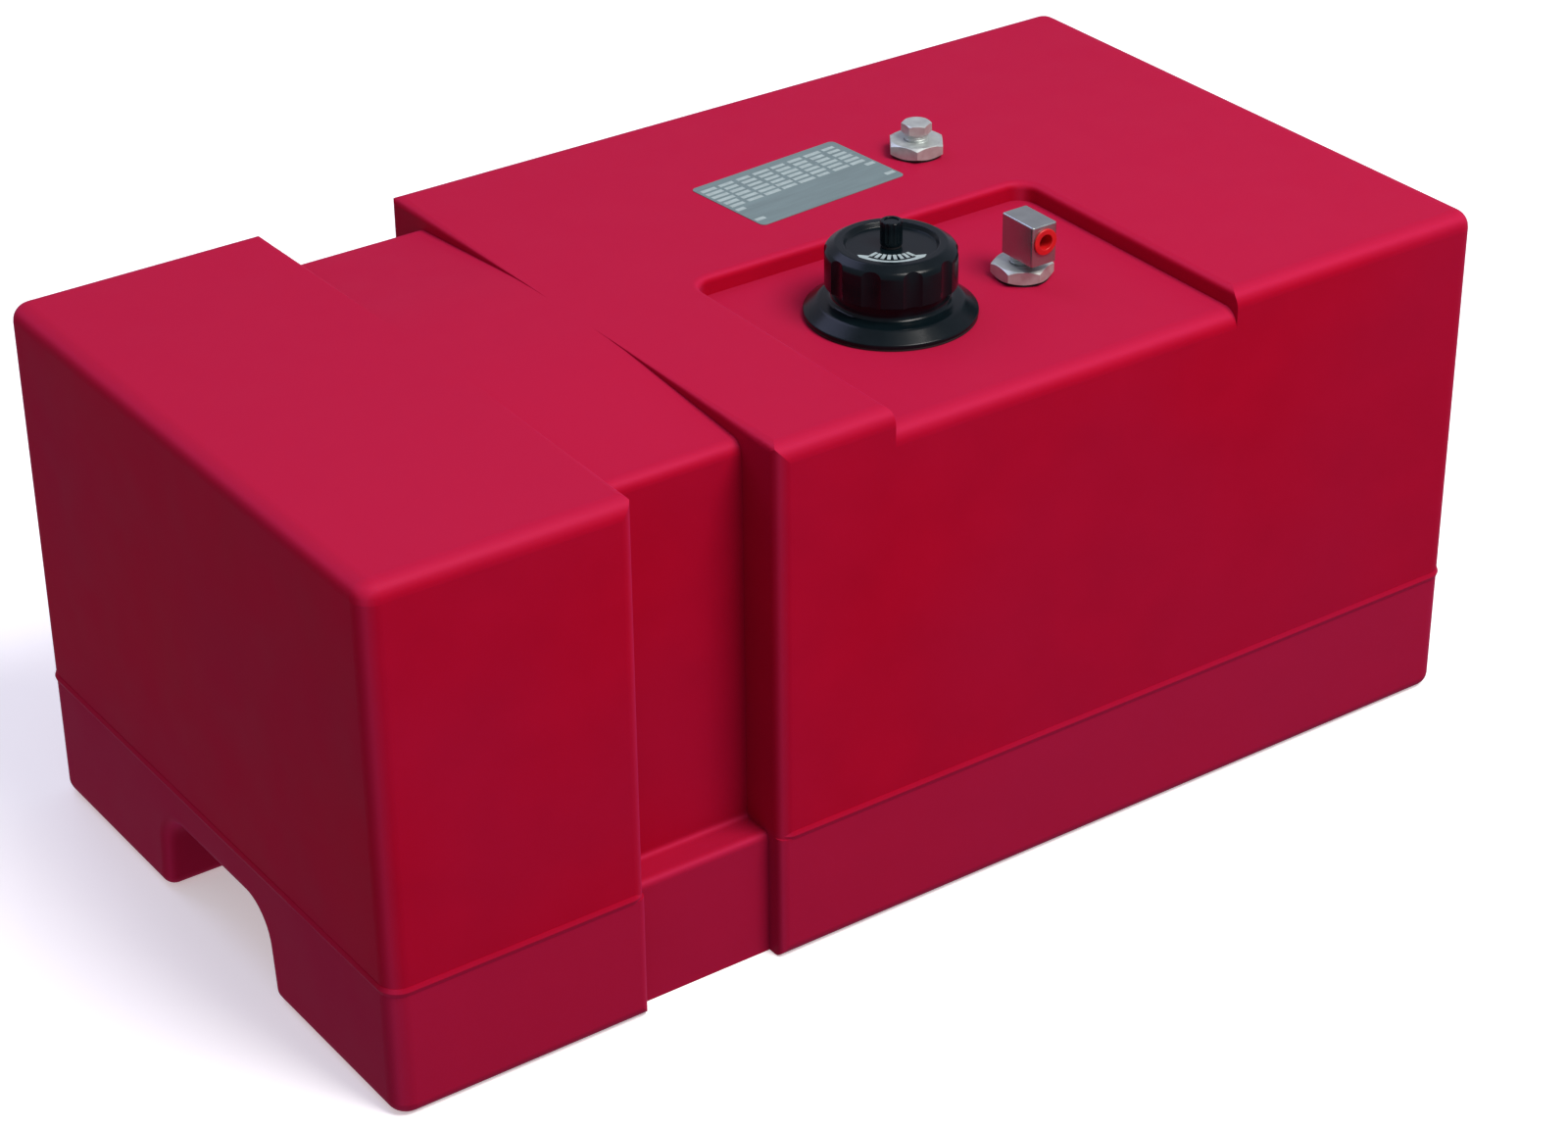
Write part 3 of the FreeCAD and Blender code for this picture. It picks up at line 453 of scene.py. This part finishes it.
def thread_tree():
    """A right-handed ridge that climbs round an upright axis and fades at both ends."""
    tree, sizes = new_tree("thread_ridge", {
        "Middle": VECTOR, "Radius": FLOAT, "Thickness": FLOAT, "Pitch": FLOAT, "Turns": FLOAT,
        "Sides": WHOLE,
    })
    climb = add(tree, "ShaderNodeMath", (-800, -200), {0: sizes["Pitch"], 1: sizes["Turns"]},
                operation="MULTIPLY")
    spiral = add(tree, "GeometryNodeCurveSpiral", (-600, 0),
                 {"Resolution": 64, "Rotations": sizes["Turns"], "Start Radius": sizes["Radius"],
                  "End Radius": sizes["Radius"], "Height": climb.outputs[0], "Reverse": True})
    upright = add(tree, "GeometryNodeSetCurveNormal", (-400, 0), {"Curve": spiral.outputs[0]},
                  mode="Z_UP")
    along = add(tree, "GeometryNodeSplineParameter", (-800, -400))
    ends = add(tree, "ShaderNodeMath", (-600, -400), {0: along.outputs["Factor"], 1: 0.5},
               operation="PINGPONG")
    fade = add(tree, "ShaderNodeMath", (-400, -400), {0: ends.outputs[0], 1: sizes["Turns"]},
               operation="MULTIPLY")
    full = add(tree, "ShaderNodeMath", (-200, -400), {0: fade.outputs[0], 1: 6.0},
               operation="MULTIPLY", use_clamp=True)
    least = add(tree, "ShaderNodeMath", (0, -400), {0: full.outputs[0], 1: 0.1},
                operation="MAXIMUM")
    section = add(tree, "GeometryNodeCurvePrimitiveCircle", (-400, -200),
                  {"Resolution": sizes["Sides"], "Radius": sizes["Thickness"]})
    swept = add(tree, "GeometryNodeCurveToMesh", (0, 0),
                {"Curve": upright.outputs[0], "Profile Curve": section.outputs["Curve"],
                 "Scale": least.outputs[0], "Fill Caps": True})
    return end_tree(tree, swept.outputs[0], sizes)


def bars_round_tree():
    """Equal bars set round an arc, each pointing away from the arc's centre."""
    tree, sizes = new_tree("bars_round", {
        "Middle": VECTOR, "Radius": FLOAT, "Start": FLOAT, "Sweep": FLOAT, "Count": WHOLE,
        "Bar": VECTOR,
    })
    arc = add(tree, "GeometryNodeCurveArc", (-800, 0),
              {"Resolution": 128, "Radius": sizes["Radius"], "Start Angle": sizes["Start"],
               "Sweep Angle": sizes["Sweep"]})
    points = add(tree, "GeometryNodeCurveToPoints", (-600, 0),
                 {"Curve": arc.outputs["Curve"], "Count": sizes["Count"]})
    place = add(tree, "GeometryNodeInputPosition", (-600, -300))
    outwards = add(tree, "FunctionNodeAlignRotationToVector", (-400, -300),
                   {"Vector": place.outputs[0]}, axis="X")
    bar = add(tree, "GeometryNodeMeshCube", (-600, -500), {"Size": sizes["Bar"]})
    bars = add(tree, "GeometryNodeInstanceOnPoints", (-200, 0),
               {"Points": points.outputs["Points"], "Instance": bar.outputs["Mesh"],
                "Rotation": outwards.outputs[0]})
    return end_tree(tree, bars.outputs[0], sizes)


def fields_tree():
    """Flat fields in rows and columns, some shorter, turned together about the upright."""
    tree, sizes = new_tree("blank_fields", {
        "Middle": VECTOR, "Length": FLOAT, "Width": FLOAT, "Columns": WHOLE, "Rows": WHOLE,
        "Field": VECTOR, "Shortest": VECTOR, "Shift": VECTOR, "Seed": WHOLE, "Turn": VECTOR,
    })
    grid = add(tree, "GeometryNodeMeshGrid", (-600, 0),
               {"Size X": sizes["Length"], "Size Y": sizes["Width"],
                "Vertices X": sizes["Columns"], "Vertices Y": sizes["Rows"]})
    back = add(tree, "ShaderNodeVectorMath", (-800, -700), {0: sizes["Shift"], "Scale": -1.0},
               operation="SCALE")
    shifts = add(tree, "FunctionNodeRandomValue", (-600, -700),
                 {0: back.outputs[0], 1: sizes["Shift"], "Seed": sizes["Seed"]},
                 data_type="FLOAT_VECTOR")
    grid = add(tree, "GeometryNodeSetPosition", (-450, 0),
               {"Geometry": grid.outputs["Mesh"], "Offset": shifts.outputs[0]})
    field = add(tree, "GeometryNodeMeshCube", (-600, -300), {"Size": sizes["Field"]})
    lengths = add(tree, "FunctionNodeRandomValue", (-600, -500),
                  {0: sizes["Shortest"], 1: (1, 1, 1), "Seed": sizes["Seed"]},
                  data_type="FLOAT_VECTOR")
    fields = add(tree, "GeometryNodeInstanceOnPoints", (-300, 0),
                 {"Points": grid.outputs[0], "Instance": field.outputs["Mesh"],
                  "Scale": lengths.outputs[0]})
    turned = add(tree, "GeometryNodeTransform", (0, 0),
                 {"Geometry": fields.outputs[0], "Rotation": sizes["Turn"]})
    return end_tree(tree, turned.outputs[0], sizes)


def hoops_tree():
    """Equal round hoops stacked up an upright axis."""
    tree, sizes = new_tree("hoops", {
        "Middle": VECTOR, "Radius": FLOAT, "Thickness": FLOAT, "Step": VECTOR, "Count": WHOLE,
    })
    line = add(tree, "GeometryNodeMeshLine", (-600, 0),
               {"Count": sizes["Count"], "Offset": sizes["Step"]})
    hoop = add(tree, "GeometryNodeCurvePrimitiveCircle", (-800, -300),
               {"Resolution": 48, "Radius": sizes["Radius"]})
    section = add(tree, "GeometryNodeCurvePrimitiveCircle", (-800, -500),
                  {"Resolution": 6, "Radius": sizes["Thickness"]})
    swept = add(tree, "GeometryNodeCurveToMesh", (-600, -300),
                {"Curve": hoop.outputs["Curve"], "Profile Curve": section.outputs["Curve"]})
    hoops = add(tree, "GeometryNodeInstanceOnPoints", (-300, 0),
                {"Points": line.outputs[0], "Instance": swept.outputs[0]})
    return end_tree(tree, hoops.outputs[0], sizes)


def arc_tree():
    """A flat band along an arc."""
    tree, sizes = new_tree("arc_band", {
        "Middle": VECTOR, "Radius": FLOAT, "Start": FLOAT, "Sweep": FLOAT, "Width": FLOAT,
        "Thickness": FLOAT,
    })
    arc = add(tree, "GeometryNodeCurveArc", (-600, 0),
              {"Resolution": 48, "Radius": sizes["Radius"], "Start Angle": sizes["Start"],
               "Sweep Angle": sizes["Sweep"]})
    upright = add(tree, "GeometryNodeSetCurveNormal", (-400, 0), {"Curve": arc.outputs["Curve"]},
                  mode="Z_UP")
    section = add(tree, "GeometryNodeCurvePrimitiveQuadrilateral", (-600, -300),
                  {"Width": sizes["Width"], "Height": sizes["Thickness"]})
    swept = add(tree, "GeometryNodeCurveToMesh", (-200, 0),
                {"Curve": upright.outputs[0], "Profile Curve": section.outputs[0],
                 "Fill Caps": True})
    return end_tree(tree, swept.outputs[0], sizes)


TREES = {
    "thread_ridge": thread_tree,
    "bars_round": bars_round_tree,
    "blank_fields": fields_tree,
    "hoops": hoops_tree,
    "arc_band": arc_tree,
}


def tree_for(name):
    """A geometry tree, made when it is first asked for."""
    return bpy.data.node_groups.get(name) or TREES[name]()


# ---------------------------------------------------------------- meshes


def new_piece(name, mesh, material, body):
    """Links a mesh as a piece of the object, riding on its body."""
    piece = bpy.data.objects.new(name, mesh)
    bpy.context.scene.collection.objects.link(piece)
    mesh.materials.clear()
    mesh.materials.append(material)
    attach(piece, body)
    return piece


def grown_piece(name, tree, material, body, slot, **sizes):
    """A piece whose mesh a geometry tree makes from those sizes."""
    maker = bpy.data.objects.new(f"{name}_maker", bpy.data.meshes.new(f"{name}_seed"))
    bpy.context.scene.collection.objects.link(maker)
    modifier = maker.modifiers.new("grow", "NODES")
    modifier.node_group = tree_for(tree)
    wanted = {**sizes, "Material": material}
    for socket in modifier.node_group.interface.items_tree:
        if socket.in_out == "INPUT":
            modifier[socket.identifier] = wanted[socket.name]
    context = bpy.context.evaluated_depsgraph_get()
    mesh = bpy.data.meshes.new_from_object(maker.evaluated_get(context))
    bpy.data.objects.remove(maker)
    if not mesh.polygons:
        raise RuntimeError(f"{name} came out empty")
    mesh.name = name
    smooth(mesh)
    return new_piece(name, mesh, material, body)


def smooth(mesh, degrees=35):
    """Shades a mesh smooth, apart from edges sharper than that."""
    mesh.polygons.foreach_set("use_smooth", [True] * len(mesh.polygons))
    mesh.set_sharp_from_angle(angle=math.radians(degrees))


def mesh_of(name, points, faces):
    """A mesh from its points and faces."""
    mesh = bpy.data.meshes.new(name)
    mesh.from_pydata(points, [], faces)
    mesh.validate()
    return mesh


def arrow_head(name, middle, radius, at, half, thick, way, slender=1.7):
    """A flat three-sided head at an angle on an arc, pointing one way round it. Half is half of
    its width, and slender is its length over that."""
    outwards = Vector((math.cos(at), math.sin(at), 0))
    ahead = Vector((-math.sin(at), math.cos(at), 0)) * way
    root = Vector(middle) + outwards * radius
    corners = [root + outwards * half, root - outwards * half, root + ahead * half * slender]
    low, high = Vector((0, 0, -thick / 2)), Vector((0, 0, thick / 2))
    points = [corner + side for side in (low, high) for corner in corners]
    faces = [(2, 1, 0), (3, 4, 5), (0, 1, 4, 3), (1, 2, 5, 4), (2, 0, 3, 5)]
    if way < 0:
        faces = [face[::-1] for face in faces]
    return mesh_of(name, points, faces)


def dress(node, material):
    """Keeps the node's own solid as the piece and gives it its material."""
    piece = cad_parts[node]
    piece.data.materials.clear()
    piece.data.materials.append(material)
    return piece


def axis_of(node, height=0.0):
    """The middle of a node in plan, at a given height."""
    low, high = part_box(node)
    return Vector(((low.x + high.x) / 2, (low.y + high.y) / 2, height))


# ---------------------------------------------------------------- operators


class TankOperator(Operator):
    """Common parts of the builders."""

    bl_options = {"REGISTER", "UNDO"}

    def execute(self, context):
        self.build(context.scene.tank_look)
        return {"FINISHED"}


class BuildMoulding(TankOperator):
    """Builds the moulded tank"""

    bl_idname = "tank.build_moulding"
    bl_label = "Moulding"

    def build(self, look):
        dress("tank_shell", material_for("moulding", look))


class BuildFiller(TankOperator):
    """Builds the filler neck with its thread"""

    bl_idname = "tank.build_filler"
    bl_label = "Filler"

    def build(self, look):
        sizes = bpy.context.scene.filler_sizes
        black = material_for("black", look)
        dress("filler_neck", black)
        dress("neck_gasket", material_for("rubber", look))
        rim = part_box("filler_neck")[1].z
        grown_piece("neck_thread", "thread_ridge", black, "tank", "black_plastic",
                    Middle=axis_of("filler_neck", rim - sizes.thread_depth),
                    Radius=sizes.neck_radius + sizes.ridge - sizes.thread_round,
                    Thickness=sizes.thread_round, Pitch=sizes.pitch, Turns=sizes.neck_turns,
                    Sides=10)


class BuildCap(TankOperator):
    """Builds the cap with its thread, its marks, its seal and its baffle"""

    bl_idname = "tank.build_cap"
    bl_label = "Cap"

    def build(self, look):
        sizes = bpy.context.scene.filler_sizes
        black = material_for("black", look)
        dress("cap_shell", black)
        dress("cap_baffle", black)
        dress("cap_gasket", material_for("rubber", look))
        # Half a pitch above the neck's thread, and reaching a little way in between its turns.
        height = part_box("filler_neck")[1].z - sizes.thread_depth + sizes.pitch / 2
        grown_piece("cap_thread", "thread_ridge", black, "cap", "black_plastic",
                    Middle=axis_of("cap_shell", height),
                    Radius=sizes.cap_radius - 0.6 * sizes.ridge + sizes.thread_round,
                    Thickness=sizes.thread_round, Pitch=sizes.pitch, Turns=sizes.cap_turns,
                    Sides=10)
        mark = material_for("mark", look)
        # The marks stand three quarters of their thickness out of the dish.
        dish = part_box("cap_shell")[1].z - sizes.dish
        middle = axis_of("cap_shell", dish + sizes.paint / 4)
        start = sizes.mark_middle - sizes.mark_sweep / 2
        grown_piece("cap_arrow", "arc_band", mark, "cap", "black_plastic", Middle=middle,
                    Radius=sizes.mark_radius, Start=start, Sweep=sizes.mark_sweep,
                    Width=sizes.mark_width, Thickness=sizes.paint)
        for side, at, way in (("left", start, -1), ("right", start + sizes.mark_sweep, 1)):
            name = f"cap_arrow_{side}"
            head = arrow_head(name, middle, sizes.mark_radius, at, sizes.head, sizes.paint, way)
            new_piece(name, head, mark, "cap")
        grown_piece("cap_ticks", "bars_round", mark, "cap", "black_plastic", Middle=middle,
                    Radius=sizes.tick_radius, Start=start, Sweep=sizes.mark_sweep,
                    Count=sizes.ticks,
                    Bar=Vector((sizes.tick_length, sizes.tick_width, sizes.paint)))


class BuildVent(TankOperator):
    """Builds the vent screw, its washer and its clip"""

    bl_idname = "tank.build_vent"
    bl_label = "Vent"

    def build(self, look):
        sizes = bpy.context.scene.fitting_sizes
        black = material_for("black", look)
        dress("vent_screw", black)
        dress("vent_washer", material_for("rubber", look))
        dress("vent_clip", material_for("alloy", look))
        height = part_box("vent_clip")[1].z + sizes.vent_rise
        grown_piece("vent_thread", "thread_ridge", black, "vent", "black_plastic",
                    Middle=axis_of("vent_screw", height), Radius=sizes.vent_radius,
                    Thickness=sizes.vent_round, Pitch=sizes.vent_pitch, Turns=sizes.vent_turns,
                    Sides=4)


def port_thread(name, bushing, axis, turns, material):
    """The thread that shows in a port, below the top of its bushing."""
    sizes = bpy.context.scene.fitting_sizes
    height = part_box(bushing)[1].z - sizes.port_depth
    grown_piece(name, "thread_ridge", material, "tank", "fitting_metal",
                Middle=axis_of(axis, height), Radius=sizes.port_radius,
                Thickness=sizes.port_round, Pitch=sizes.port_pitch, Turns=turns, Sides=4)


class BuildPickup(TankOperator):
    """Builds the fuel pickup from its insert to its strainer"""

    bl_idname = "tank.build_pickup"
    bl_label = "Pickup"

    def build(self, look):
        sizes = bpy.context.scene.fitting_sizes
        alloy = material_for("alloy", look)
        nylon = material_for("nylon", look)
        plated = material_for("plated", look)
        dress("pickup_bushing", plated)
        dress("pickup_elbow", alloy)
        dress("pickup_insert", material_for("brass", look))
        dress("pickup_gasket", material_for("rubber", look))
        dress("port_plug", material_for("plug", look))
        dress("pickup_tube", nylon)
        dress("pickup_screen", nylon)
        port_thread("pickup_thread", "pickup_bushing", "pickup_tube", sizes.pickup_turns, plated)
        low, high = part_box("pickup_screen")
        radius = (high.x - low.x) / 2
        tall = high.z - low.z - sizes.hoop_step
        # One step short of a full turn, so that the first wire and the last don't coincide.
        grown_piece("strainer_wires", "bars_round", nylon, "tank", "white_plastic",
                    Middle=axis_of("pickup_screen", (low.z + high.z) / 2), Radius=radius,
                    Start=0.0, Sweep=2 * math.pi * (1 - 1 / sizes.wires), Count=sizes.wires,
                    Bar=Vector((sizes.wire_depth, sizes.wire_width, tall)))
        grown_piece("strainer_hoops", "hoops", nylon, "tank", "white_plastic",
                    Middle=axis_of("pickup_screen", low.z + sizes.hoop_step), Radius=radius,
                    Thickness=sizes.hoop_round, Step=Vector((0, 0, sizes.hoop_step)),
                    Count=sizes.hoops)


class BuildSpare(TankOperator):
    """Builds the plugged spare port"""

    bl_idname = "tank.build_spare"
    bl_label = "Spare port"

    def build(self, look):
        plated = material_for("plated", look)
        dress("spare_bushing", plated)
        dress("spare_plug", plated)
        dress("spare_insert", material_for("brass", look))
        dress("spare_gasket", material_for("rubber", look))
        turns = bpy.context.scene.fitting_sizes.spare_turns
        port_thread("spare_thread", "spare_bushing", "spare_insert", turns, plated)


class BuildPlate(TankOperator):
    """Builds the plate on the top, with blank fields and no words"""

    bl_idname = "tank.build_plate"
    bl_label = "Plate"

    def build(self, look):
        sizes = bpy.context.scene.plate_sizes
        dress("data_plate", material_for("foil", look))
        ink = material_for("print", look)
        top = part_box("data_plate")[1].z
        turn = Matrix.Rotation(sizes.turn, 4, "Z")

        def on_plate(along, across):
            return axis_of("data_plate", top) + turn @ Vector((along, across, 0))

        grown_piece("plate_fields", "blank_fields", ink, "tank", "plate_foil",
                    Middle=on_plate(sizes.table_along, sizes.table_across), Length=sizes.table,
                    Width=sizes.table_width, Columns=sizes.columns, Rows=sizes.rows,
                    Field=Vector((sizes.field, sizes.field_width, sizes.ink)),
                    Shortest=Vector((sizes.shortest, sizes.narrowest, 1)),
                    Shift=Vector((sizes.shift, 0, 0)), Seed=sizes.table_seed,
                    Turn=Vector((0, 0, sizes.turn)))
        grown_piece("plate_rules", "blank_fields", ink, "tank", "plate_foil",
                    Middle=on_plate(0, sizes.stamps_across), Length=sizes.stamps,
                    Width=sizes.stamps_width, Columns=2, Rows=2,
                    Field=Vector((sizes.stamp, sizes.stamp_width, sizes.ink)),
                    Shortest=Vector((sizes.stamp_least, sizes.stamp_least, 1)),
                    Shift=Vector((0, 0, 0)), Seed=sizes.stamp_seed,
                    Turn=Vector((0, 0, sizes.turn)))


def hang_lamp(name, place, aim, side, power, tone):
    """A square light that points at something."""
    data = bpy.data.lights.new(name, "AREA")
    data.size = side
    data.energy = power
    data.color = tone[:3]
    lamp = bpy.data.objects.new(name, data)
    lamp.location = place
    lamp.rotation_euler = (Vector(aim) - Vector(place)).to_track_quat("-Z", "Y").to_euler()
    bpy.context.scene.collection.objects.link(lamp)


class BuildStage(TankOperator):
    """Builds the floor, the lights and the camera"""

    bl_idname = "tank.build_stage"
    bl_label = "Stage"

    def build(self, look):
        sizes = bpy.context.scene.stage_sizes
        half = sizes.floor / 2
        corners = [(-half, -half, 0), (half, -half, 0), (half, half, 0), (-half, half, 0)]
        floor = bpy.data.objects.new("floor", mesh_of("floor", corners, [(0, 1, 2, 3)]))
        floor.location.z = -sizes.gap
        # The floor doesn't tint the tank.
        floor.visible_diffuse = False
        floor.visible_glossy = False
        bpy.context.scene.collection.objects.link(floor)
        material, tree, shader = new_material("studio_floor")
        if tree:
            shader.inputs["Base Color"].default_value = rgba(sizes.floor_tone)
            shader.inputs["Roughness"].default_value = 0.8
            shader.inputs["Emission Color"].default_value = rgba(sizes.floor_tone)
            shader.inputs["Emission Strength"].default_value = sizes.floor_glow
        floor.data.materials.append(material)

        world = bpy.data.worlds.new("studio")
        world.use_nodes = True
        background = world.node_tree.nodes["Background"]
        background.inputs["Color"].default_value = rgba(sizes.sky)
        background.inputs["Strength"].default_value = sizes.sky_strength
        scene = bpy.context.scene
        scene.world = world
        scene.view_settings.view_transform = "Standard"
        hang_lamp("key_light", sizes.key_place, sizes.aim, sizes.key_side, sizes.key_power,
                  sizes.key)
        hang_lamp("back_light", sizes.back_place, sizes.aim, sizes.back_side, sizes.back_power,
                  sizes.back)

        # The camera's own axes: back towards the viewer, across and upward in the picture.
        back = Vector((math.sin(sizes.azimuth) * math.cos(sizes.elevation),
                       -math.cos(sizes.azimuth) * math.cos(sizes.elevation),
                       math.sin(sizes.elevation)))
        right = (-back).cross(Vector((0, 0, 1))).normalized()
        across = right * math.cos(sizes.roll) + right.cross(-back) * math.sin(sizes.roll)
        turn = Matrix((across, across.cross(-back), back)).transposed().to_4x4()
        camera = bpy.data.objects.new("camera", bpy.data.cameras.new("camera"))
        camera.data.sensor_width = sizes.film
        camera.data.lens = sizes.lens
        camera.matrix_world = Matrix.Translation(sizes.camera) @ turn
        scene.collection.objects.link(camera)
        scene.camera = camera


SETTINGS = {
    "tank_look": TankLook,
    "filler_sizes": FillerSizes,
    "fitting_sizes": FittingSizes,
    "plate_sizes": PlateSizes,
    "stage_sizes": StageSizes,
}


class TankPanel(Panel):
    """Builders of the tank's looks"""

    bl_label = "Fuel Tank"
    bl_idname = "VIEW3D_PT_fuel_tank"
    bl_space_type = "VIEW_3D"
    bl_region_type = "UI"
    bl_category = "Tank"

    def draw(self, context):
        for operator in OPERATORS:
            self.layout.operator(operator.bl_idname)
        for key, group in SETTINGS.items():
            box = self.layout.box()
            box.label(text=group.__doc__)
            for name in group.__annotations__:
                box.prop(getattr(context.scene, key), name)


OPERATORS = (BuildMoulding, BuildFiller, BuildCap, BuildVent, BuildPickup, BuildSpare,
             BuildPlate, BuildStage)
CLASSES = (*SETTINGS.values(), *OPERATORS, TankPanel)


def register():
    """Registers the classes and gives every scene their settings."""
    for item in CLASSES:
        bpy.utils.register_class(item)
    for key, group in SETTINGS.items():
        setattr(bpy.types.Scene, key, PointerProperty(type=group))


def unregister():
    """Takes the settings and the classes away again."""
    for key in SETTINGS:
        delattr(bpy.types.Scene, key)
    for item in reversed(CLASSES):
        bpy.utils.unregister_class(item)


def main():
    """Builds everything."""
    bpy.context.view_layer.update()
    register()
    for operator in OPERATORS:
        group, name = operator.bl_idname.split(".")
        done = getattr(getattr(bpy.ops, group), name)()
        if done != {"FINISHED"}:
            raise RuntimeError(f"{operator.bl_label} wasn't built")


if __name__ == "__main__":
    main()
